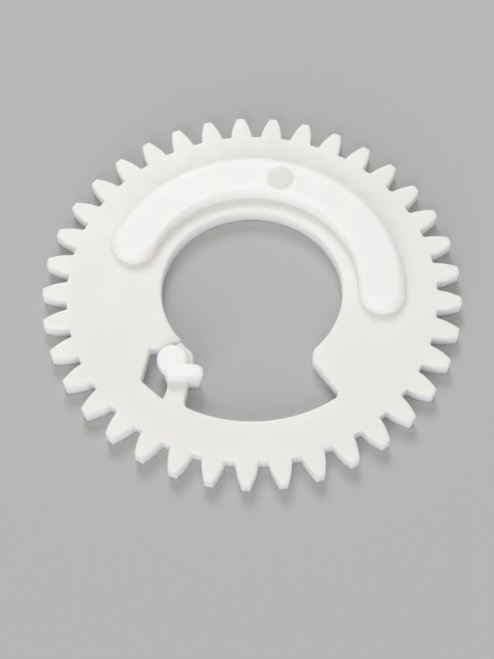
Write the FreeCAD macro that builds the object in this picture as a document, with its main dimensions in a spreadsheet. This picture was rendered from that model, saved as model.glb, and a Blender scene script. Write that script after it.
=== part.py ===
"""Latching spur gear in natural acetal: one moulding with a raised cam rib and a sprung latch finger.

The moulding is split into its functional features, each a solid of its own that meets its neighbours
face to face. The origin is on the bore axis at the flat underside, +Z is up through the gear, and
+Y points from the latch side of the bore towards the middle of the cam rib. Millimetres.
"""

import FreeCAD
import Part
import math
import os

import Sketcher

V = FreeCAD.Vector
FLAT = V(0, 0, 1)

# alias, value, what it is
DIMENSIONS = [
    ("tooth_module", 1.5, "module of the spur gear"),
    ("tooth_count", 37, "teeth round the rim"),
    ("pressure_angle", 20, "degrees"),
    ("tooth_phase", 5.72, "degrees from +X to the middle of one tooth"),
    ("root_fillet", 0.375, "fillet between a flank and the root circle"),
    ("root_bite", 0.01, "how far the root fillets run into the rim, so that tooth and rim cross cleanly"),
    ("face_width", 2.4, "thickness of the teeth and of the flat web"),
    ("rim_inner_radius", 21.5, "where the toothed rim meets the web"),
    ("land_outer_radius", 14.9, "where the web meets the bore land, the foot of the cam's inner wall"),
    ("bore_radius", 12.65, "journal that the gear turns on"),
    ("pocket_radius", 20.15, "outer wall of the open pocket below the bore"),
    ("pocket_corner", 1.0, "fillets at the pocket's two ends"),
    ("bay_corner", 0.4, "fillets in the latch bay's corners"),
    ("nose_tip_x", 8.60, "stop nose: where it leaves the bore"),
    ("nose_tip_y", -9.31, ""),
    ("nose_flat_x", 8.25, "stop nose: its short flat"),
    ("nose_flat_top", -10.05, ""),
    ("nose_flat_end", -11.10, ""),
    ("nose_foot_x", 11.87, "stop nose: foot of its slanted side, on the pocket wall"),
    ("bay_top", -9.25, "latch bay: its top wall"),
    ("bay_top_left", -13.95, "latch bay: top left corner"),
    ("slot_start_x", -12.85, "slot over the head: where its wall leaves the bay's top wall"),
    ("slot_end_x", -9.50, "slot over the head: end of its wall, inside the bore"),
    ("slot_end_y", -7.93, ""),
    ("bay_left_x", -15.00, "latch bay: left corner"),
    ("bay_left_y", -14.15, ""),
    ("root_left_x", -12.00, "finger's root line: end at the bay"),
    ("root_right_x", -9.05, "finger's root line: end at the pocket"),
    ("root_line", -16.90, "finger's root line across the finger"),
    ("neck_end", -15.90, "end of the stretch that bends"),
    ("neck_left_x", -11.58, "finger's left side at the neck's end"),
    ("neck_right_x", -8.83, "finger's right side at the neck's end"),
    ("waist_x", -11.38, "finger's waist on the bay side"),
    ("waist_y", -15.00, ""),
    ("head_start", -14.30, "where the arm becomes the head, and the tab's front face"),
    ("arm_right_x", -8.62, "arm's right side where it meets the head"),
    ("arm_left_x", -11.60, "arm's left side where it meets the head"),
    ("head_left_x", -12.10, "head block's left side, under the post"),
    ("head_shoulder_y", -12.60, "height at which the head block reaches full width"),
    ("head_right_x", -7.96, "head block's side along the bore"),
    ("head_bend_y", -10.15, "where that side turns to follow the bore"),
    ("head_tip_x", -9.66, "head block's tip, between bore and slot"),
    ("head_tip_y", -8.45, ""),
    ("head_left_y", -9.41, "other end of the head block's side along the slot"),
    ("head_corner", 1.50, "round corner of the head block at the bore"),
    ("feature_rise", 1.8, "height of the cam, post and tab above the web"),
    ("post_x", -10.71, "round post on the head"),
    ("post_y", -11.66, ""),
    ("post_radius", 2.12, ""),
    ("post_round", 0.6, "round on the post's top edge"),
    ("tab_tip_top", -6.45, "tab's tip at its top"),
    ("tab_tip_bottom", -7.20, "tab's tip at the underside"),
    ("tab_back", -12.50, "tab's back face"),
    ("tab_corner", 1.1, "round on the tab's back corner"),
    ("cam_width", 6.5, "radial width of the cam rib"),
    ("cam_start", -3.0, "degrees, centre of the cam's first round end"),
    ("cam_end", 156.5, "degrees, centre of the cam's second round end"),
    ("cam_round", 1.0, "round on the cam's top edge"),
    ("mark_radius", 2.1, "ejector mark on the cam"),
    ("mark_depth", 0.1, ""),
    ("mark_angle", 76.8, "degrees from +X to the ejector mark"),
]

doc = FreeCAD.newDocument("latching_spur_gear")
dims = doc.addObject("Spreadsheet::Sheet", "dims")
for row, (alias, value, note) in enumerate(DIMENSIONS, start=1):
    dims.set(f"A{row}", alias)
    dims.set(f"B{row}", str(value))
    dims.set(f"C{row}", note)
    dims.setAlias(f"B{row}", alias)
doc.recompute()


def size(alias):
    """The value that a cell of the sheet holds."""
    return float(dims.get(alias))


# ---------------------------------------------------------------- bodies and sketches

def new_body(label):
    body = doc.addObject("PartDesign::Body", label)
    body.Label = label
    body.Placement = FreeCAD.Placement()
    return body


def origin_feature(body, role):
    return next(f for f in body.Origin.OriginFeatures if f.Role == role)


def new_sketch(body, name, plane="XY_Plane", lift=None):
    """A sketch on one of the body's own planes; lift is an expression for its height along the normal."""
    sketch = body.newObject("Sketcher::SketchObject", name)
    sketch.AttachmentSupport = (origin_feature(body, plane), "")
    sketch.MapMode = "FlatFace"
    if lift:
        sketch.setExpression(".AttachmentOffset.Base.z", lift)
    return sketch


def bind(sketch, constraint, expression):
    """Adds a dimensional constraint and binds it to the sheet."""
    index = sketch.addConstraint(constraint)
    sketch.setExpression(f"Constraints[{index}]", expression)


def place_point(sketch, geometry, end, x, y):
    """Fixes a point of the sketch at two expressions of the sheet."""
    point = sketch.getPoint(geometry, end)
    bind(sketch, Sketcher.Constraint("DistanceX", -1, 1, geometry, end, point.x), x)
    bind(sketch, Sketcher.Constraint("DistanceY", -1, 1, geometry, end, point.y), y)


def join(sketch, one, other):
    """Makes the ends of two edges that lie at one place coincide."""
    ends = [(a, b) for a in (1, 2) for b in (1, 2)]

    def gap(pair):
        return sketch.getPoint(one, pair[0]).distanceToPoint(sketch.getPoint(other, pair[1]))

    here, there = min(ends, key=gap)
    sketch.addConstraint(Sketcher.Constraint("Coincident", one, here, other, there))


def centred_circle(sketch, radius):
    circle = sketch.addGeometry(Part.Circle(V(0, 0, 0), FLAT, size(radius)))
    sketch.addConstraint(Sketcher.Constraint("Coincident", circle, 3, -1, 1))
    bind(sketch, Sketcher.Constraint("Radius", circle, size(radius)), f"dims.{radius}")


def aim_centre(sketch, arc, angle):
    """Puts an arc's centre on a construction line that leaves the origin at an angle of the sheet."""
    spoke = sketch.addGeometry(Part.LineSegment(V(0, 0, 0), sketch.getPoint(arc, 3)), True)
    sketch.addConstraint(Sketcher.Constraint("Coincident", spoke, 1, -1, 1))
    sketch.addConstraint(Sketcher.Constraint("Coincident", spoke, 2, arc, 3))
    bind(sketch, Sketcher.Constraint("Angle", spoke, math.radians(size(angle))), f"dims.{angle} * 1 deg")
    return spoke


def evaluate(expression):
    """A sum of cells and numbers, worked out for a sketch's first guess."""
    return float(dims.evalExpression(expression.replace("dims.", "")))


def closed_polygon(sketch, corners):
    """Straight sides through corners, each a pair of expressions of the sheet."""
    points = [V(evaluate(x), evaluate(y), 0) for x, y in corners]
    count = len(points)
    sides = [sketch.addGeometry(Part.LineSegment(points[i - 1], points[i])) for i in range(count)]
    for side, following in zip(sides, sides[1:] + sides[:1]):
        join(sketch, side, following)
    for side, (x, y) in zip(sides, corners):
        place_point(sketch, side, 2, x, y)


def pad(body, sketch, length, reverse=False):
    feature = body.newObject("PartDesign::Pad", sketch.Name + "_pad")
    feature.Profile = sketch
    feature.Reversed = reverse
    feature.setExpression("Length", length)
    sketch.Visibility = False
    return feature


def cut_through(body, sketch):
    """A pocket through the body, both ways from the sketch; fails if it takes nothing away."""
    doc.recompute()
    before = body.Shape.Volume
    feature = body.newObject("PartDesign::Pocket", sketch.Name + "_pocket")
    feature.Profile = sketch
    feature.Type = "ThroughAll"
    feature.SideType = "Two sides"
    feature.Type2 = "ThroughAll"
    doc.recompute()
    assert body.Shape.Volume < before - 0.01, f"{sketch.Name} cuts nothing"
    return feature


def round_edges(body, name, radius, *pickers):
    """Fillets the edges of the body that any picker says yes to."""
    doc.recompute()
    base = body.Tip
    names = [f"Edge{i + 1}" for i, edge in enumerate(base.Shape.Edges) if any(pick(edge) for pick in pickers)]
    assert len(names) >= len(pickers), f"{name} finds only {names}"
    feature = body.newObject("PartDesign::Fillet", name)
    feature.Base = (base, names)
    feature.setExpression("Radius", radius)
    return feature


def middle(edge):
    return edge.valueAt((edge.FirstParameter + edge.LastParameter) / 2)


def upright_at(x, y):
    """Picks the upright edge at a place in plan."""
    def wanted(edge):
        box = edge.BoundBox
        place = middle(edge)
        return box.ZLength > 1.0 and math.hypot(place.x - x, place.y - y) < 0.02
    return wanted


def level_at(height):
    """Picks every edge that lies at one height."""
    def wanted(edge):
        box = edge.BoundBox
        return box.ZLength < 1e-4 and abs(box.ZMin - height) < 1e-4
    return wanted


def polar(radius, angle):
    return V(radius * math.cos(angle), radius * math.sin(angle), 0)


# ---------------------------------------------------------------- toothed rim

def tooth_profile():
    """One standard full-depth involute tooth about +X, from inside the root circle to its tip."""
    module, count = size("tooth_module"), size("tooth_count")
    pitch_radius = module * count / 2
    tip_radius = pitch_radius + module
    root_radius = pitch_radius - 1.25 * module
    base_radius = pitch_radius * math.cos(math.radians(size("pressure_angle")))
    fillet = size("root_fillet")

    def involute(angle):
        return math.tan(angle) - angle

    def half_angle(radius):
        """Half the angle that the tooth spans at a radius."""
        at_pitch = math.pi / (2 * count)
        here = math.acos(min(1.0, base_radius / radius))
        return at_pitch + involute(math.radians(size("pressure_angle"))) - involute(here)

    flank_start = math.sqrt((root_radius + fillet) ** 2 - fillet ** 2)
    flank_radii = [flank_start + (tip_radius - flank_start) * i / 6 for i in range(7)]
    flank = [polar(r, half_angle(r)) for r in flank_radii]
    foot_angle = half_angle(flank_start) + math.asin(fillet / (root_radius + fillet))
    foot_radius = root_radius - size("root_bite")
    foot = polar(foot_radius, foot_angle)
    centre = polar(foot_radius + fillet, foot_angle)
    to_corner = polar(root_radius, half_angle(flank_start)) - centre
    fillet_middle = centre + to_corner.normalize() * fillet
    inside = polar(root_radius - fillet, foot_angle)

    def mirrored(point):
        return V(point.x, -point.y, 0)

    def spline(points):
        curve = Part.BSplineCurve()
        curve.interpolate(points)
        return curve

    return [
        Part.LineSegment(inside, foot),
        Part.Arc(foot, fillet_middle, flank[0]),
        spline(flank),
        Part.Arc(flank[-1], V(tip_radius, 0, 0), mirrored(flank[-1])),
        spline([mirrored(p) for p in reversed(flank)]),
        Part.Arc(mirrored(flank[0]), mirrored(fillet_middle), mirrored(foot)),
        Part.LineSegment(mirrored(foot), mirrored(inside)),
        Part.LineSegment(mirrored(inside), inside),
    ]


def toothed_rim():
    body = new_body("toothed_rim")
    ring = new_sketch(body, "rim_ring")
    outer = ring.addGeometry(Part.Circle(V(0, 0, 0), FLAT, size("rim_inner_radius") + 1))
    ring.addConstraint(Sketcher.Constraint("Coincident", outer, 3, -1, 1))
    bind(ring, Sketcher.Constraint("Radius", outer, size("rim_inner_radius") + 1),
         "dims.tooth_module * (dims.tooth_count / 2 - 1.25)")
    centred_circle(ring, "rim_inner_radius")
    pad(body, ring, "dims.face_width")

    tooth = new_sketch(body, "tooth")
    tooth.setExpression(".AttachmentOffset.Rotation.Angle", "dims.tooth_phase")
    sides = [tooth.addGeometry(curve) for curve in tooth_profile()]
    for side, following in zip(sides, sides[1:] + sides[:1]):
        join(tooth, side, following)
    one_tooth = pad(body, tooth, "dims.face_width")
    doc.recompute()

    teeth = body.newObject("PartDesign::PolarPattern", "teeth")
    teeth.Originals = [one_tooth]
    teeth.Axis = (origin_feature(body, "Z_Axis"), [""])
    teeth.Angle = 360
    teeth.setExpression("Occurrences", "dims.tooth_count")
    body.Tip = teeth
    return body


# ---------------------------------------------------------------- web and bore land

def cut_openings(body, name):
    """Cuts the pocket, the latch bay and the slot, one connected opening, out of a ring of the web."""
    sketch = new_sketch(body, name)
    pocket = size("pocket_radius")
    foot_y = "-sqrt(dims.pocket_radius ^ 2 - dims.nose_foot_x ^ 2)"
    root_y = "-sqrt(dims.pocket_radius ^ 2 - dims.root_right_x ^ 2)"
    route = [
        ("dims.root_right_x", root_y),
        ("dims.root_right_x", "dims.root_line"),
        ("dims.root_left_x", "dims.root_line"),
        ("dims.bay_left_x", "dims.bay_left_y"),
        ("dims.bay_top_left", "dims.bay_top"),
        ("dims.slot_start_x", "dims.bay_top"),
        ("dims.slot_end_x", "dims.slot_end_y"),
        ("dims.nose_tip_x", "dims.nose_tip_y"),
        ("dims.nose_flat_x", "dims.nose_flat_top"),
        ("dims.nose_flat_x", "dims.nose_flat_end"),
        ("dims.nose_foot_x", foot_y),
    ]
    points = [V(evaluate(x), evaluate(y), 0) for x, y in route]
    sides = [sketch.addGeometry(Part.LineSegment(a, b)) for a, b in zip(points, points[1:])]
    start = math.atan2(points[0].y, points[0].x)
    end = math.atan2(points[-1].y, points[-1].x)
    wall = sketch.addGeometry(Part.ArcOfCircle(Part.Circle(V(0, 0, 0), FLAT, pocket), start, end))
    for side, following in zip(sides + [wall], sides[1:] + [wall, sides[0]]):
        join(sketch, side, following)
    for side, (x, y) in zip(sides, route):
        place_point(sketch, side, 1, x, y)
    place_point(sketch, sides[-1], 2, *route[-1])
    return cut_through(body, sketch)


def ring_of_web(label, outer, inner):
    body = new_body(label)
    ring = new_sketch(body, label + "_ring")
    centred_circle(ring, outer)
    centred_circle(ring, inner)
    pad(body, ring, "dims.face_width")
    cut_openings(body, label + "_opening")
    return body


def web_plate():
    body = ring_of_web("web_plate", "rim_inner_radius", "land_outer_radius")
    pocket_ends = [upright_at(size(x), -math.sqrt(size("pocket_radius") ** 2 - size(x) ** 2))
                   for x in ("root_right_x", "nose_foot_x")]
    round_edges(body, "pocket_end_rounds", "dims.pocket_corner", *pocket_ends)
    bay_corners = [upright_at(size(x), size(y))
                   for x, y in (("bay_top_left", "bay_top"), ("bay_left_x", "bay_left_y"))]
    round_edges(body, "bay_corner_rounds", "dims.bay_corner", *bay_corners)
    return body


def bore_land():
    return ring_of_web("bore_land", "land_outer_radius", "bore_radius")


# ---------------------------------------------------------------- cam rib

def cam_rib():
    """The raised cam: an arc-shaped rib with round ends, and the ejector mark on its top."""
    body = new_body("cam_rib")
    outline = new_sketch(body, "cam_outline", lift="dims.face_width")
    inner = size("land_outer_radius")
    width = size("cam_width")
    start, end = math.radians(size("cam_start")), math.radians(size("cam_end"))
    middle_radius = inner + width / 2
    inner_wall = outline.addGeometry(Part.ArcOfCircle(Part.Circle(V(0, 0, 0), FLAT, inner), start, end))
    outer_wall = outline.addGeometry(
        Part.ArcOfCircle(Part.Circle(V(0, 0, 0), FLAT, inner + width), start, end))
    first_end = outline.addGeometry(
        Part.ArcOfCircle(Part.Circle(polar(middle_radius, start), FLAT, width / 2), start + math.pi, start))
    last_end = outline.addGeometry(
        Part.ArcOfCircle(Part.Circle(polar(middle_radius, end), FLAT, width / 2), end, end + math.pi))
    for wall, radius in ((inner_wall, "dims.land_outer_radius"),
                         (outer_wall, "dims.land_outer_radius + dims.cam_width")):
        outline.addConstraint(Sketcher.Constraint("Coincident", wall, 3, -1, 1))
        bind(outline, Sketcher.Constraint("Radius", wall, evaluate(radius)), radius)
    for cap, angle in ((first_end, "cam_start"), (last_end, "cam_end")):
        aim_centre(outline, cap, angle)
    for cap, wall_end in ((first_end, 1), (last_end, 2)):
        outline.addConstraint(Sketcher.Constraint("Tangent", inner_wall, wall_end, cap, wall_end))
        outline.addConstraint(Sketcher.Constraint("Tangent", outer_wall, wall_end, cap, 3 - wall_end))
    pad(body, outline, "dims.feature_rise")
    round_edges(body, "cam_top_round", "dims.cam_round",
                level_at(size("face_width") + size("feature_rise")))

    mark = new_sketch(body, "ejector_mark", lift="dims.face_width + dims.feature_rise")
    spot = polar(middle_radius, math.radians(size("mark_angle")))
    disc = mark.addGeometry(Part.Circle(spot, FLAT, size("mark_radius")))
    spoke = aim_centre(mark, disc, "mark_angle")
    bind(mark, Sketcher.Constraint("Distance", spoke, middle_radius),
         "dims.land_outer_radius + dims.cam_width / 2")
    bind(mark, Sketcher.Constraint("Radius", disc, size("mark_radius")), "dims.mark_radius")
    doc.recompute()
    before = body.Shape.Volume
    sink = body.newObject("PartDesign::Pocket", "ejector_mark_pocket")
    sink.Profile = mark
    sink.setExpression("Length", "dims.mark_depth")
    doc.recompute()
    assert body.Shape.Volume < before - 0.5, "the ejector mark cuts nothing"
    return body


# ---------------------------------------------------------------- latch finger

def finger_piece(label, corners):
    body = new_body(label)
    outline = new_sketch(body, label + "_outline")
    closed_polygon(outline, corners)
    pad(body, outline, "dims.face_width")
    return body


def latch_flexure():
    """The neck at the finger's root, the stretch that bends."""
    return finger_piece("latch_flexure", [
        ("dims.root_left_x", "dims.root_line"),
        ("dims.root_right_x", "dims.root_line"),
        ("dims.neck_right_x", "dims.neck_end"),
        ("dims.neck_left_x", "dims.neck_end"),
    ])


def latch_arm():
    return finger_piece("latch_arm", [
        ("dims.neck_left_x", "dims.neck_end"),
        ("dims.neck_right_x", "dims.neck_end"),
        ("dims.arm_right_x", "dims.head_start"),
        ("dims.arm_left_x", "dims.head_start"),
        ("dims.waist_x", "dims.waist_y"),
    ])


def latch_head():
    """The block at the finger's free end, between the bay and the bore."""
    body = finger_piece("latch_head", [
        ("dims.arm_left_x", "dims.head_start"),
        ("dims.arm_right_x", "dims.head_start"),
        ("dims.arm_right_x", "dims.tab_back"),
        ("dims.head_right_x", "dims.tab_back"),
        ("dims.head_right_x", "dims.head_bend_y"),
        ("dims.head_tip_x", "dims.head_tip_y"),
        ("dims.head_left_x", "dims.head_left_y"),
        ("dims.head_left_x", "dims.head_shoulder_y"),
    ])
    round_edges(body, "head_corner_round", "dims.head_corner",
                upright_at(size("head_right_x"), size("head_bend_y")))
    return body


def latch_post():
    body = new_body("latch_post")
    base = new_sketch(body, "post_base", lift="dims.face_width")
    disc = base.addGeometry(Part.Circle(V(size("post_x"), size("post_y"), 0), FLAT, size("post_radius")))
    place_point(base, disc, 3, "dims.post_x", "dims.post_y")
    bind(base, Sketcher.Constraint("Radius", disc, size("post_radius")), "dims.post_radius")
    pad(body, base, "dims.feature_rise")
    round_edges(body, "post_top_round", "dims.post_round",
                level_at(size("face_width") + size("feature_rise")))
    return body


def latch_tab():
    """The tab: a tapered block beside the head, with a bar across the arm that joins it to the post."""
    body = new_body("latch_tab")
    profile = new_sketch(body, "tab_profile", plane="XZ_Plane", lift="-dims.tab_back")
    closed_polygon(profile, [
        ("dims.arm_left_x", "dims.face_width"),
        ("dims.arm_right_x", "dims.face_width"),
        ("dims.arm_right_x", "0 * dims.face_width"),
        ("dims.tab_tip_bottom", "0 * dims.face_width"),
        ("dims.tab_tip_top", "dims.face_width + dims.feature_rise"),
        ("dims.arm_left_x", "dims.face_width + dims.feature_rise"),
    ])
    pad(body, profile, "dims.tab_back - dims.head_start")
    seat = new_sketch(body, "post_seat")
    disc = seat.addGeometry(Part.Circle(V(size("post_x"), size("post_y"), 0), FLAT, size("post_radius")))
    place_point(seat, disc, 3, "dims.post_x", "dims.post_y")
    bind(seat, Sketcher.Constraint("Radius", disc, size("post_radius")), "dims.post_radius")
    cut_through(body, seat)
    tip_middle = (size("tab_tip_top") + size("tab_tip_bottom")) / 2
    round_edges(body, "tab_corner_round", "dims.tab_corner", upright_at(tip_middle, size("tab_back")))
    return body


# ---------------------------------------------------------------- check and write

PIECES = [toothed_rim, web_plate, bore_land, cam_rib,
          latch_flexure, latch_arm, latch_head, latch_post, latch_tab]

bodies = [build() for build in PIECES]
doc.recompute()

for item in doc.Objects:
    state = item.State
    assert "Invalid" not in state and "Error" not in state, f"{item.Name} failed: {state}"
for body in bodies:
    shape = body.Shape
    assert not shape.isNull() and shape.isValid(), f"{body.Label} has no valid shape"
    assert len(shape.Solids) == 1, f"{body.Label} has {len(shape.Solids)} solids"

os.makedirs("parts", exist_ok=True)
for body in bodies:
    body.Shape.exportStep(f"parts/{body.Label}.step")
    print(f"{body.Label:16s} {body.Shape.Volume:9.2f} mm3")
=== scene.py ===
"""Looks for the latching cam gear: one natural acetal moulding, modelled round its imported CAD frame.

Outlines are worked out in millimetres in the CAD's own frame: the origin is on the bore axis at the
flat underside, and +Z is up through the gear. Meshes are written in metres.
"""

import math

import bmesh
import bpy
import numpy as np
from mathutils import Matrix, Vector
from mathutils.geometry import tessellate_polygon


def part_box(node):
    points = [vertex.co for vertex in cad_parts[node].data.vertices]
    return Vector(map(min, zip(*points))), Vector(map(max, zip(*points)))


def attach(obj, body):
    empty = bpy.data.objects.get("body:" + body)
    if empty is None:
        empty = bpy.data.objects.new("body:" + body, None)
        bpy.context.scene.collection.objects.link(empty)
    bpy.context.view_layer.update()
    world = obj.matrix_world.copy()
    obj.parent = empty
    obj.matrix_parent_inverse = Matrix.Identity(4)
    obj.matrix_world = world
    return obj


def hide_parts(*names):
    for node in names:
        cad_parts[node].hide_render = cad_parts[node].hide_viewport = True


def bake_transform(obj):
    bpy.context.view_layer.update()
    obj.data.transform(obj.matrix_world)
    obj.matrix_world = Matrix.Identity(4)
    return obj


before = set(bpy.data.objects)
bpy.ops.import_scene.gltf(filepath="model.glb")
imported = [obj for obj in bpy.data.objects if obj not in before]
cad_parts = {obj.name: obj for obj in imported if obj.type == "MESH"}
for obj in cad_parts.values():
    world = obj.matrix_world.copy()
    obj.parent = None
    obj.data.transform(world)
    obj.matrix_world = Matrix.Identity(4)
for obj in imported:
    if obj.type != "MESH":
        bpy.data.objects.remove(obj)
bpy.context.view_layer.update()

MM = 0.001
PLATE_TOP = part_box("web_plate")[1].z / MM
FEATURE_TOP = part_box("cam_rib")[1].z / MM
STEP = 0.22          # spacing of points along an outline

# ---------------------------------------------------------------- outlines, in mm


def polar(radius, angle):
    return np.array((radius * math.cos(angle), radius * math.sin(angle)))


def arc(radius, start, end, centre=(0.0, 0.0), step=STEP):
    """Points along an arc, both ends included."""
    count = max(3, int(abs(end - start) * radius / step) + 1)
    angles = np.linspace(start, end, count)
    return np.column_stack((np.cos(angles), np.sin(angles))) * radius + np.array(centre)


def line(a, b, step=STEP):
    """Points along a straight side, both ends included."""
    a, b = np.array(a, float), np.array(b, float)
    count = max(2, int(np.hypot(*(b - a)) / step) + 1)
    return a + (b - a) * np.linspace(0, 1, count)[:, None]


def trimmed(run, head, tail):
    """A run of points with a length taken off each end."""
    length = np.concatenate(([0.0], np.cumsum(np.hypot(*np.diff(run, axis=0).T))))
    inside = (length > head + 1e-4) & (length < length[-1] - tail - 1e-4)
    at = np.concatenate(([head], length[inside], [length[-1] - tail]))
    return np.column_stack([np.interp(at, length, run[:, axis]) for axis in (0, 1)])


def unit(vector):
    return vector / np.hypot(*vector)


def joined(runs, radii, closed=True):
    """Runs laid end to end, with the corner after each rounded to its radius."""
    count = len(runs)
    turns = []
    for i, radius in enumerate(radii):
        following = runs[(i + 1) % count]
        cosine = float(unit(runs[i][-1] - runs[i][-2]) @ unit(following[1] - following[0]))
        turns.append(math.acos(max(-1.0, min(1.0, cosine))))
    cuts = [radius * math.tan(turn / 2) for radius, turn in zip(radii, turns)]
    if not closed:
        cuts[-1] = 0.0
    points = []
    for i, run in enumerate(runs):
        head = 0.0 if i == 0 and not closed else cuts[i - 1]
        piece = trimmed(run, head, cuts[i])
        points.extend(piece[:-1] if cuts[i] < 1e-6 and (closed or i < count - 1) else piece)
        if cuts[i] < 1e-6:
            continue
        a, c = piece[-1], run[-1]
        b = trimmed(runs[(i + 1) % count], cuts[i], 0.0)[0]
        weight = math.cos(turns[i] / 2)
        steps = max(3, int(turns[i] / math.radians(12)))
        for t in np.linspace(0, 1, steps + 1)[1:-1]:
            share = np.array(((1 - t) ** 2, 2 * t * (1 - t) * weight, t * t))
            points.append((share[0] * a + share[1] * c + share[2] * b) / share.sum())
    return np.array(points)


def miters(loop):
    """At each point of a closed loop with the material on its left, the step that insets it by one."""
    along = np.roll(loop, -1, axis=0) - loop
    along /= np.hypot(*along.T)[:, None]
    left = np.column_stack((-along[:, 1], along[:, 0]))
    before = np.roll(left, 1, axis=0)
    return (left + before) / (1 + (left * before).sum(axis=1))[:, None]


MODULE, TEETH, PRESSURE_ANGLE = 1.5, 37, math.radians(20)
PITCH_RADIUS = MODULE * TEETH / 2
TIP_RADIUS = PITCH_RADIUS + MODULE
ROOT_RADIUS = PITCH_RADIUS - 1.25 * MODULE
BASE_RADIUS = PITCH_RADIUS * math.cos(PRESSURE_ANGLE)
TOOTH_PHASE = math.radians(5.72)
ROOT_FILLET = 0.375
TIP_CORNER = 0.24


def involute(angle):
    return math.tan(angle) - angle


def half_tooth_angle(radius):
    return (math.pi / (2 * TEETH) + involute(PRESSURE_ANGLE)
            - involute(math.acos(min(1.0, BASE_RADIUS / radius))))


def gear_outline():
    """The toothed outer outline, counter-clockwise."""
    flank_start = math.sqrt((ROOT_RADIUS + ROOT_FILLET) ** 2 - ROOT_FILLET ** 2)
    start_angle = half_tooth_angle(flank_start)
    foot_angle = start_angle + math.asin(ROOT_FILLET / (ROOT_RADIUS + ROOT_FILLET))
    centre = polar(ROOT_RADIUS + ROOT_FILLET, -foot_angle)
    gap_angle = math.pi / TEETH
    root = arc(ROOT_RADIUS, -gap_angle, -foot_angle, step=0.1)
    fillet = arc(ROOT_FILLET, math.pi - foot_angle, math.pi / 2 - start_angle, centre, step=0.07)
    flank = np.array([polar(r, -half_tooth_angle(r)) for r in np.linspace(flank_start, TIP_RADIUS, 14)])
    tip = arc(TIP_RADIUS, -half_tooth_angle(TIP_RADIUS), half_tooth_angle(TIP_RADIUS), step=0.12)
    rising = np.vstack((root[:-1], fillet[:-1], flank))
    falling = rising[::-1] * (1, -1)
    tooth = joined([rising, tip, falling], [TIP_CORNER, TIP_CORNER, 0.0], closed=False)[:-1]
    outline = []
    for number in range(TEETH):
        turn = TOOTH_PHASE + number * 2 * math.pi / TEETH
        c, s = math.cos(turn), math.sin(turn)
        outline.append(tooth @ np.array(((c, s), (-s, c))))
    return np.vstack(outline)


BORE_RADIUS = 12.65
POCKET_RADIUS = 20.15
ROOT_RIGHT, ROOT_LEFT = (-9.05, -16.90), (-12.00, -16.90)
BAY_LEFT, BAY_TOP_LEFT = (-15.00, -14.15), (-13.95, -9.25)
SLOT_START, SLOT_CORNER = (-12.60, -9.25), (-9.690, -8.130)
NOSE = ((8.25, -10.05), (8.25, -11.10))
NOSE_FOOT_X = 11.87
NOSE_ANGLE = -47.3
NOTCH_ROUND = 0.18


def inner_outline():
    """The whole inner edge, clockwise from the root's left end: bay, slot, bore, nose, pocket, finger.

    Gives the points and the index where the finger's own part starts."""
    foot_y = -math.sqrt(POCKET_RADIUS ** 2 - NOSE_FOOT_X ** 2)
    pocket_left_y = -math.sqrt(POCKET_RADIUS ** 2 - ROOT_RIGHT[0] ** 2)
    bore_start = 2 * math.pi + math.atan2(SLOT_CORNER[1], SLOT_CORNER[0])
    bore_end = math.radians(NOSE_ANGLE)
    pocket_end = math.atan2(pocket_left_y, ROOT_RIGHT[0])
    opening = [
        (line(ROOT_LEFT, BAY_LEFT), 0.4),
        (line(BAY_LEFT, BAY_TOP_LEFT), 0.4),
        (line(BAY_TOP_LEFT, SLOT_START), 1.0),
        (line(SLOT_START, SLOT_CORNER), 0.12),
        (arc(BORE_RADIUS, bore_start, bore_end), 0.5),
        (line(polar(BORE_RADIUS, bore_end), NOSE[0]), 0.8),
        (line(NOSE[0], NOSE[1]), 0.8),
        (line(NOSE[1], (NOSE_FOOT_X, foot_y)), 1.0),
        (arc(POCKET_RADIUS, math.atan2(foot_y, NOSE_FOOT_X), pocket_end), 1.0),
        (line((ROOT_RIGHT[0], pocket_left_y), ROOT_RIGHT), 0.0),
    ]
    corners = [
        (ROOT_RIGHT, 0.0), ((-8.83, -15.90), 1.5), ((-8.62, -14.30), 0.0), ((-8.62, -12.50), 0.2),
        ((-7.96, -12.50), 0.25), ((-7.96, -10.15), 1.5), ((-9.66, -8.45), 0.25), ((-12.10, -9.41), 0.6),
        ((-12.10, -12.60), 0.5), ((-11.50, -14.20), 1.2), ((-11.40, -14.80), 1.2),
        ((-11.58, -15.90), 1.2), (ROOT_LEFT, NOTCH_ROUND),
    ]
    finger = [(line(a, b), radius) for (a, _), (b, radius) in zip(corners, corners[1:])]
    runs, radii = zip(*(opening + finger))
    loop = joined(runs, radii)
    at_left = int(np.argmin(np.hypot(*(loop - np.array(ROOT_LEFT)).T)))
    loop = np.roll(loop, -at_left, axis=0)
    return loop, int(np.argmin(np.hypot(*(loop - np.array(ROOT_RIGHT)).T)))


# ---------------------------------------------------------------- mesh helpers

ROUND_STEPS = 5      # rings over each rounded edge of a wall


def rounded_wall(bottom, top, bottom_round, top_round):
    """Inset, height and slope of each ring up a wall with both its edges rounded."""
    rings = []
    for k in range(ROUND_STEPS + 1):
        angle = math.pi / 2 * (1 - k / ROUND_STEPS)
        rings.append((bottom_round * (1 - math.cos(angle)),
                      bottom + bottom_round * (1 - math.sin(angle)), -angle))
    for k in range(ROUND_STEPS + 1):
        angle = math.pi / 2 * k / ROUND_STEPS
        rings.append((top_round * (1 - math.cos(angle)), top - top_round * (1 - math.sin(angle)), angle))
    return rings


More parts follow.
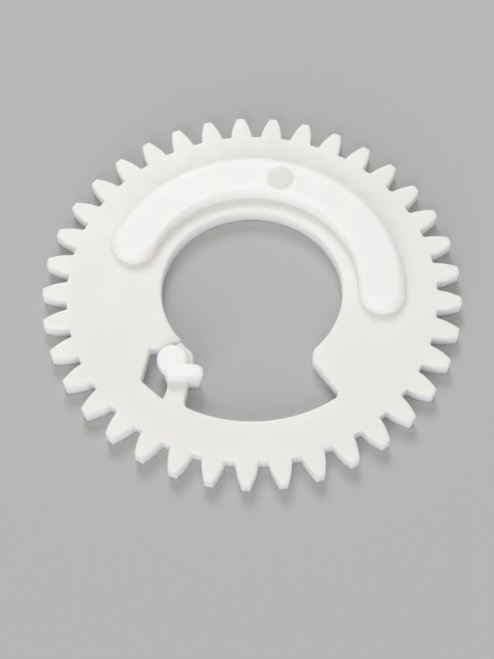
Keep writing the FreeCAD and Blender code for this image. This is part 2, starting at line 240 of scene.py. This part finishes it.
class Shell:
    """Vertices, normals and faces of a mesh as it's put together, in mm."""

    def __init__(self):
        self.places, self.normals, self.faces = [], [], []

    def ring(self, plan, height, normals):
        first = len(self.places)
        self.places.extend((x, y, z) for (x, y), z in zip(plan, np.broadcast_to(height, len(plan))))
        self.normals.extend(map(tuple, normals))
        return list(range(first, first + len(plan)))

    def wall(self, loop, profile, step=None, closed=True):
        """Rings of a loop inset up a profile and joined by quads. An inset may differ along the loop."""
        step = miters(loop) if step is None else step
        out = -step / np.hypot(*step.T)[:, None]
        rings = []
        for inset, height, slope in profile:
            normals = np.column_stack((out * math.cos(slope), np.full(len(loop), math.sin(slope))))
            plan = loop + step * np.broadcast_to(inset, len(loop))[:, None]
            rings.append(self.ring(plan, height, normals))
        count = len(loop)
        for low, high in zip(rings, rings[1:]):
            for i in range(count if closed else count - 1):
                j = (i + 1) % count
                self.faces.append((low[i], low[j], high[j], high[i]))
        return rings

    def close_ends(self, rings):
        """Closes an open wall across the gap between its two ends."""
        for low, high in zip(rings, rings[1:]):
            self.faces.append((low[-1], low[0], high[0], high[-1]))

    def cap(self, loops, up):
        """Fills the flat area between loops of vertices."""
        index = [i for loop in loops for i in loop]
        for triangle in tessellate_polygon([[Vector(self.places[i]) for i in loop] for loop in loops]):
            a, b, c = (index[i] for i in triangle)
            (ax, ay, _), (bx, by, _), (cx, cy, _) = (self.places[i] for i in (a, b, c))
            twice = (bx - ax) * (cy - ay) - (by - ay) * (cx - ax)
            if abs(twice) > 1e-9:
                self.faces.append((a, b, c) if (twice > 0) == up else (a, c, b))

    def mesh(self, name, scale=MM):
        data = bpy.data.meshes.new(name)
        data.from_pydata((np.array(self.places) * scale).tolist(), [], self.faces)
        data.polygons.foreach_set("use_smooth", [True] * len(data.polygons))
        data.update()
        return data


def show(name, data):
    obj = bpy.data.objects.new(name, data)
    bpy.context.scene.collection.objects.link(obj)
    return obj


# ---------------------------------------------------------------- gear plate and cam rib

CAM_INNER, CAM_WIDTH = 14.9, 6.5
CAM_ENDS = math.radians(-3.0), math.radians(156.5)
CAM_MIDDLE = CAM_INNER + CAM_WIDTH / 2
CAM_FOOT = 0.22      # fillet round the cam's foot
CAM_ROUND = 0.9      # round of its top edge at the middle of each end
ROUND_CHANGE = 0.4   # added to that round along the outer wall, and taken off it along the inner
MARK_PLACE, MARK_RADIUS, MARK_DEPTH = polar(17.68, math.radians(76.6)), 2.0, 0.06
MARK_RIM = 0.6       # width of the mark's sloping rim


def cam_outline():
    """The cam's outline, counter-clockwise, with as many points on its inner wall as on its outer."""
    start, end = CAM_ENDS
    count = int((end - start) * CAM_MIDDLE / STEP)
    angles = np.linspace(start, end, count + 1)
    directions = np.column_stack((np.cos(angles), np.sin(angles)))
    half_turn = np.linspace(0, math.pi, 41)[1:-1]

    def end_cap(at, first):
        turn = half_turn + first
        return polar(CAM_MIDDLE, at) + np.column_stack((np.cos(turn), np.sin(turn))) * CAM_WIDTH / 2

    outer_wall, inner_wall = directions * (CAM_INNER + CAM_WIDTH), directions[::-1] * CAM_INNER
    loop = np.vstack((outer_wall, end_cap(end, end), inner_wall, end_cap(start, start + math.pi)))
    step = np.vstack((-directions, -np.column_stack((np.cos(half_turn + end), np.sin(half_turn + end))),
                      directions[::-1],
                      np.column_stack((np.cos(half_turn + start), np.sin(half_turn + start)))))
    return loop, step


def cam_rib(shell):
    """Adds the raised rib and its ejector mark, with a wider round on its outer edge than on its inner.

    Gives the ring of its foot, which lies in the plate's top."""
    loop, step = cam_outline()
    outwardness = -(loop * step).sum(axis=1) / np.hypot(*loop.T)
    edge = CAM_ROUND + ROUND_CHANGE * outwardness
    foot = [(-CAM_FOOT * (1 - math.cos(angle)), PLATE_TOP + CAM_FOOT * (1 - math.sin(angle)), angle)
            for angle in np.linspace(math.pi / 2, 0, 7)]
    shoulder = [(edge * (1 - math.cos(angle)), FEATURE_TOP - edge * (1 - math.sin(angle)), angle)
                for angle in np.linspace(0, math.pi / 2, 11)[1:]]
    rings = shell.wall(loop, foot + shoulder, step)
    turn = np.linspace(0, 2 * math.pi, 97)[:-1]
    circle = np.column_stack((np.cos(turn), np.sin(turn)))
    rim = [(MARK_RIM * share, FEATURE_TOP - MARK_DEPTH * share ** 2 * (3 - 2 * share),
            math.pi / 2 - math.atan(6 * share * (1 - share) * MARK_DEPTH / MARK_RIM))
           for share in np.linspace(0, 1, 9)]
    mark = shell.wall(MARK_PLACE + circle * MARK_RADIUS, rim, -circle)
    shell.cap([rings[-1], mark[0]], up=True)
    shell.cap([mark[-1]], up=True)
    return rings[0]


BOTTOM_ROUND, TEETH_ROUND, OPENING_ROUND, CORNER_ROUND = 0.10, 0.20, 0.28, 0.05
CORNER_REACH = 1.2   # how far from the slot's sharp corner the opening's full rounds are back

teeth = gear_outline()
inner, finger_start = inner_outline()
inner_step = miters(inner)
off_corner = np.clip(np.hypot(*(inner - np.array(SLOT_CORNER)).T) / CORNER_REACH, 0, 1) ** 2
inner_rounds = [CORNER_ROUND + (size - CORNER_ROUND) * off_corner for size in (BOTTOM_ROUND, OPENING_ROUND)]


def opening_wall(part):
    return rounded_wall(0.0, PLATE_TOP, inner_rounds[0][part], inner_rounds[1][part])


def gear_plate():
    """Teeth, web, bore land and cam as one moulded skin, cut off square at the finger's root."""
    shell = Shell()
    rim = shell.wall(teeth, rounded_wall(0.0, PLATE_TOP, BOTTOM_ROUND, TEETH_ROUND))
    opening = slice(0, finger_start + 1)
    edge = shell.wall(inner[opening], opening_wall(opening), inner_step[opening], closed=False)
    shell.close_ends(edge)
    shell.cap([rim[0], edge[0]], up=False)
    shell.cap([rim[-1], edge[-1], cam_rib(shell)], up=True)
    data = shell.mesh("gear_moulding")
    data.normals_split_custom_set_from_vertices(shell.normals)
    return show("gear_moulding", data)


plate = gear_plate()
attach(plate, "gear")
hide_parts("toothed_rim", "web_plate", "bore_land", "cam_rib")

# ---------------------------------------------------------------- latch finger

POST_PLACE, POST_RADIUS, POST_ROUND = (-10.71, -11.61), 2.13, 0.60
TAB_FRONT, TAB_BACK = -14.30, -12.50
TAB_LEFT, TAB_TIP = -9.4, -7.20
TAB_ROUND = 0.35     # round of the tab's top edge
TAB_LEAN = 0.75      # how far the tab's tip leans out from the underside to its top
BAR_LEFT, BAR_RIGHT = -11.55, -7.9
BAR_ROUND = 0.30     # round of the top edge of the bar that joins tab and post
FOOT_ROUND = 0.10    # round of the bottom edge of post, tab and bar
SUNK = 0.15          # how far post and bar run down into the slab
VOXEL = 0.07
BURIED, OVERLAP = 1.3, 0.5           # how far the root block runs on into the plate and back into the slab
INSET_LEFT, INSET_RIGHT = 0.25, 0.05  # how far its sides stay inside the ends of the root line
COVER = 0.02         # how far it stays below the plate's faces


def block(loop, bottom, top, bottom_round, top_round, lean=0.0):
    """A lofted block over a closed loop; its far side leans out by that much towards its top."""
    shell = Shell()
    rings = shell.wall(loop, rounded_wall(bottom, top, bottom_round, top_round))
    shell.cap([rings[0]], up=False)
    shell.cap([rings[-1]], up=True)
    if lean:
        left, right = loop[:, 0].min(), loop[:, 0].max()
        shell.places = [(x + lean * (z / top) * max(0.0, (x - left) / (right - left)), y, z)
                        for x, y, z in shell.places]
    return shell.mesh("block", scale=1.0)


def rounded_box(x0, x1, y0, y1, radii):
    """A rectangle, counter-clockwise from its lower left corner, with its own radius at each corner."""
    corners = [(x0, y0), (x1, y0), (x1, y1), (x0, y1)]
    runs = [line(a, b, 0.15) for a, b in zip(corners, corners[1:] + corners[:1])]
    return joined(runs, radii[1:] + radii[:1])


def finger_slab():
    """The finger's flat part, closed off along its root line; latch_finger adds the block that runs its root
    on into the plate a little below its surfaces.
    """
    own = list(range(finger_start, len(inner))) + [0]
    shell = Shell()
    rings = shell.wall(inner[own], opening_wall(own), inner_step[own], closed=False)
    shell.close_ends(rings)
    shell.cap([rings[0]], up=False)
    shell.cap([rings[-1]], up=True)
    return shell.mesh("slab", scale=1.0)


def merged(*meshes):
    together = bmesh.new()
    for data in meshes:
        together.from_mesh(data)
        bpy.data.meshes.remove(data)
    data = bpy.data.meshes.new("merged")
    together.to_mesh(data)
    together.free()
    return data


def with_modifiers(data, *settings):
    """The mesh after modifiers, each given as its type and its settings."""
    obj = show("working", data)
    for kind, values in settings:
        modifier = obj.modifiers.new(kind.lower(), kind)
        for key, value in values.items():
            setattr(modifier, key, value)
    bpy.context.view_layer.update()
    result = bpy.data.meshes.new_from_object(obj.evaluated_get(bpy.context.evaluated_depsgraph_get()))
    bpy.data.objects.remove(obj)
    bpy.data.meshes.remove(data)
    return result


def latch_finger():
    """Arm, head, post and tab grown together, with soft rounds where they meet."""
    root = rounded_box(ROOT_LEFT[0] + INSET_LEFT, ROOT_RIGHT[0] - INSET_RIGHT,
                       ROOT_RIGHT[1] - BURIED, ROOT_RIGHT[1] + OVERLAP, [0.1, 0.1, 0.1, 0.1])
    post = arc(POST_RADIUS, 0, 2 * math.pi, POST_PLACE, step=0.12)[:-1]
    tab = rounded_box(TAB_LEFT, TAB_TIP, TAB_FRONT, TAB_BACK, [0.1, 0.30, 1.1, 0.1])
    bar = rounded_box(BAR_LEFT, BAR_RIGHT, TAB_FRONT, TAB_BACK, [0.55, 0.1, 0.1, 0.30])
    data = merged(
        finger_slab(),
        block(root, COVER, PLATE_TOP - COVER, COVER, COVER),
        block(post, PLATE_TOP - SUNK, FEATURE_TOP, FOOT_ROUND, POST_ROUND),
        block(tab, 0.0, FEATURE_TOP, FOOT_ROUND, TAB_ROUND, lean=TAB_LEAN),
        block(bar, PLATE_TOP - SUNK, FEATURE_TOP, FOOT_ROUND, BAR_ROUND),
    )
    data = with_modifiers(
        data,
        ("REMESH", {"mode": "VOXEL", "voxel_size": VOXEL, "use_smooth_shade": True}),
        ("SMOOTH", {"factor": 0.5, "iterations": 5}),
    )
    data.name = "latch_finger"
    places = np.empty(len(data.vertices) * 3, np.float32)
    data.vertices.foreach_get("co", places)
    data.vertices.foreach_set("co", places * MM)
    data.update()
    return show("latch_finger_moulding", data)


finger = latch_finger()
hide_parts("latch_flexure", "latch_arm", "latch_head", "latch_post", "latch_tab")

# ---------------------------------------------------------------- natural acetal

IOR = 1.48
SCATTER_SCALE, SCATTER_RADIUS = 0.0018, (1.0, 0.87, 0.68)
ROOT_MIDDLE = (-0.0103, -0.0169)     # on the finger's root line, in metres
ROOT_SQUEEZE = 0.55                  # distances along that line count for less, so the fade covers its width
ROOT_FADE = (0.0008, 0.0030)         # where the scatter starts to come back, and where all of it is
RAISED = (0.0023, 0.0028)            # heights between which surfaces start to get the lighter tint, as painted light on raised parts, in metres
STEEP = (0.85, 0.25)                 # the same for how far a surface faces upwards: steeper walls get the lighter tint, as painted light
MARK_FADE = (0.45, 0.35)             # how far the mark's tint runs outside and inside its edge, in mm
# painted shade and painted light: the mottled tones are darker as painted shade on the low flat faces, and
# the lighter tint is painted light on raised parts and walls
SHADED_MOTTLE_DARK, SHADED_MOTTLE_LIGHT = (0.840, 0.834, 0.808, 1), (0.876, 0.871, 0.848, 1)
PAINTED_LIGHT_TINT, MARK_TINT = (0.990, 0.990, 0.980, 1), (0.800, 0.798, 0.770, 1)


def acetal():
    """Uncoloured acetal: slightly translucent and satin, with faint flow mottling and a fine mould grain.

    Raised parts and steep walls are painted lighter, as painted light, than the low flat faces, whose
    mottled tones are darker as painted shade. The scatter fades out round the finger's root, so that no seam
    shows where the two pieces meet."""
    material = bpy.data.materials.new("natural_acetal")
    material.use_nodes = True
    nodes, links = material.node_tree.nodes, material.node_tree.links
    nodes.clear()

    def node(kind, **inputs):
        made = nodes.new(kind)
        for name, value in inputs.items():
            made.inputs[name.replace("_", " ")].default_value = value
        return made

    place = nodes.new("ShaderNodeTexCoord")

    def noise(scale, detail, roughness=0.5):
        made = node("ShaderNodeTexNoise", Scale=scale, Detail=detail, Roughness=roughness)
        links.new(place.outputs["Object"], made.inputs["Vector"])
        return made.outputs["Fac"]

    def spread(value, low, high):
        made = node("ShaderNodeMapRange", From_Min=0.3, From_Max=0.7, To_Min=low, To_Max=high)
        links.new(value, made.inputs["Value"])
        return made.outputs["Result"]

    def ramp(value, start, end):
        made = node("ShaderNodeMapRange", From_Min=start, From_Max=end)
        made.interpolation_type = "SMOOTHSTEP"
        links.new(value, made.inputs["Value"])
        return made.outputs["Result"]

    def mixed(factor, first, second):
        made = nodes.new("ShaderNodeMix")
        made.data_type = "RGBA"
        for name, value in (("Factor", factor), ("A", first), ("B", second)):
            socket = next(s for s in made.inputs if s.name == name and s.enabled)
            if isinstance(value, tuple):
                socket.default_value = value
            else:
                links.new(value, socket)
        return next(s for s in made.outputs if s.enabled)

    def away_from_root():
        moved = node("ShaderNodeMapping", Location=(-ROOT_MIDDLE[0] * ROOT_SQUEEZE, -ROOT_MIDDLE[1], 0),
                     Scale=(ROOT_SQUEEZE, 1, 0))
        links.new(place.outputs["Object"], moved.inputs["Vector"])
        made = nodes.new("ShaderNodeVectorMath")
        made.operation = "LENGTH"
        links.new(moved.outputs["Vector"], made.inputs[0])
        return made.outputs["Value"]

    def away_from(point):
        made = nodes.new("ShaderNodeVectorMath")
        made.operation = "DISTANCE"
        links.new(place.outputs["Object"], made.inputs[0])
        made.inputs[1].default_value = [value * MM for value in point]
        return made.outputs["Value"]

    def upward_part(vector):
        made = nodes.new("ShaderNodeSeparateXYZ")
        links.new(vector, made.inputs["Vector"])
        return made.outputs["Z"]

    shader = node("ShaderNodeBsdfPrincipled", IOR=IOR, Subsurface_Scale=SCATTER_SCALE)
    shader.subsurface_method = "RANDOM_WALK"
    shader.inputs["Subsurface Radius"].default_value = SCATTER_RADIUS
    links.new(ramp(away_from_root(), *ROOT_FADE), shader.inputs["Subsurface Weight"])

    # painted light mask: the lighter tint goes on raised parts and steep walls, and the darker mottled tones
    # stay on low flat faces as painted shade
    painted_light_mask = nodes.new("ShaderNodeMath")
    painted_light_mask.operation = "MAXIMUM"
    links.new(ramp(upward_part(place.outputs["Object"]), *RAISED), painted_light_mask.inputs[0])
    links.new(ramp(upward_part(place.outputs["Normal"]), *STEEP), painted_light_mask.inputs[1])
    shaded_mottle = mixed(spread(noise(140.0, 3.0), 0.0, 1.0), SHADED_MOTTLE_DARK, SHADED_MOTTLE_LIGHT)
    moulding = mixed(painted_light_mask.outputs["Value"], shaded_mottle, PAINTED_LIGHT_TINT)
    outside, inside = MARK_FADE
    mark = ramp(away_from((*MARK_PLACE, FEATURE_TOP)),
                (MARK_RADIUS + outside) * MM, (MARK_RADIUS - inside) * MM)
    links.new(mixed(mark, moulding, MARK_TINT), shader.inputs["Base Color"])
    links.new(spread(noise(420.0, 2.0), 0.36, 0.50), shader.inputs["Roughness"])

    grain = node("ShaderNodeBump", Strength=0.25, Distance=0.00001)
    links.new(noise(5200.0, 2.0, 0.6), grain.inputs["Height"])
    waves = node("ShaderNodeBump", Strength=0.35, Distance=0.00005)
    links.new(noise(190.0, 1.0), waves.inputs["Height"])
    links.new(grain.outputs["Normal"], waves.inputs["Normal"])
    links.new(waves.outputs["Normal"], shader.inputs["Normal"])

    output = nodes.new("ShaderNodeOutputMaterial")
    links.new(shader.outputs["BSDF"], output.inputs["Surface"])
    return material


natural_acetal = acetal()
for piece in (plate, finger):
    piece.data.materials.clear()
    piece.data.materials.append(natural_acetal)
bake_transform(finger)

# ---------------------------------------------------------------- floor, lights and camera

FLOOR_REACH, FLOOR_HEIGHT = 1.6, -0.00002
FLOOR_GREY, FLOOR_ROUGHNESS = (0.50, 0.50, 0.50, 1), 0.8
STUDIO_TINT, STUDIO_STRENGTH = (1.0, 0.99, 0.97, 1), 0.52
LENS, SENSOR_WIDTH = 72.17, 36
CAMERA_PLACE = (0.0000843, -0.0905870, 0.1631742)
CAMERA_TURN = (0.4819, 0.004775, 0)


def floor():
    """A plain square of pale paper, a hair below the moulding."""
    build = bmesh.new()
    corners = [build.verts.new((x * FLOOR_REACH, y * FLOOR_REACH, FLOOR_HEIGHT))
               for x, y in ((-1, -1), (1, -1), (1, 1), (-1, 1))]
    build.faces.new(corners)
    data = bpy.data.meshes.new("floor")
    build.to_mesh(data)
    build.free()
    material = bpy.data.materials.new("floor_paper")
    material.use_nodes = True
    shader = material.node_tree.nodes["Principled BSDF"]
    shader.inputs["Base Color"].default_value = FLOOR_GREY
    shader.inputs["Roughness"].default_value = FLOOR_ROUGHNESS
    data.materials.append(material)
    return show("floor", data)


floor()


def soft_light(name, source, spread, strength):
    """An even light from that direction, as wide as a softbox that spans the angle."""
    data = bpy.data.lights.new(name, "SUN")
    data.angle, data.energy = math.radians(spread), strength
    light = show(name, data)
    light.location = source
    light.rotation_mode = "QUATERNION"
    light.rotation_quaternion = Vector(source).to_track_quat("Z", "Y")


soft_light("key", (-0.05, 0.33, 0.34), 26, 1.06)
soft_light("fill", (-0.10, -0.42, 0.21), 43, 1.10)

world = bpy.data.worlds.new("studio")
world.use_nodes = True
background = world.node_tree.nodes["Background"]
background.inputs["Color"].default_value = STUDIO_TINT
background.inputs["Strength"].default_value = STUDIO_STRENGTH
bpy.context.scene.world = world
bpy.context.scene.view_settings.view_transform = "Standard"

camera_data = bpy.data.cameras.new("camera")
camera_data.lens, camera_data.sensor_width = LENS, SENSOR_WIDTH
camera_data.clip_start, camera_data.clip_end = 0.01, 10
camera = show("camera", camera_data)
camera.location = CAMERA_PLACE
camera.rotation_euler = CAMERA_TURN
bpy.context.scene.camera = camera
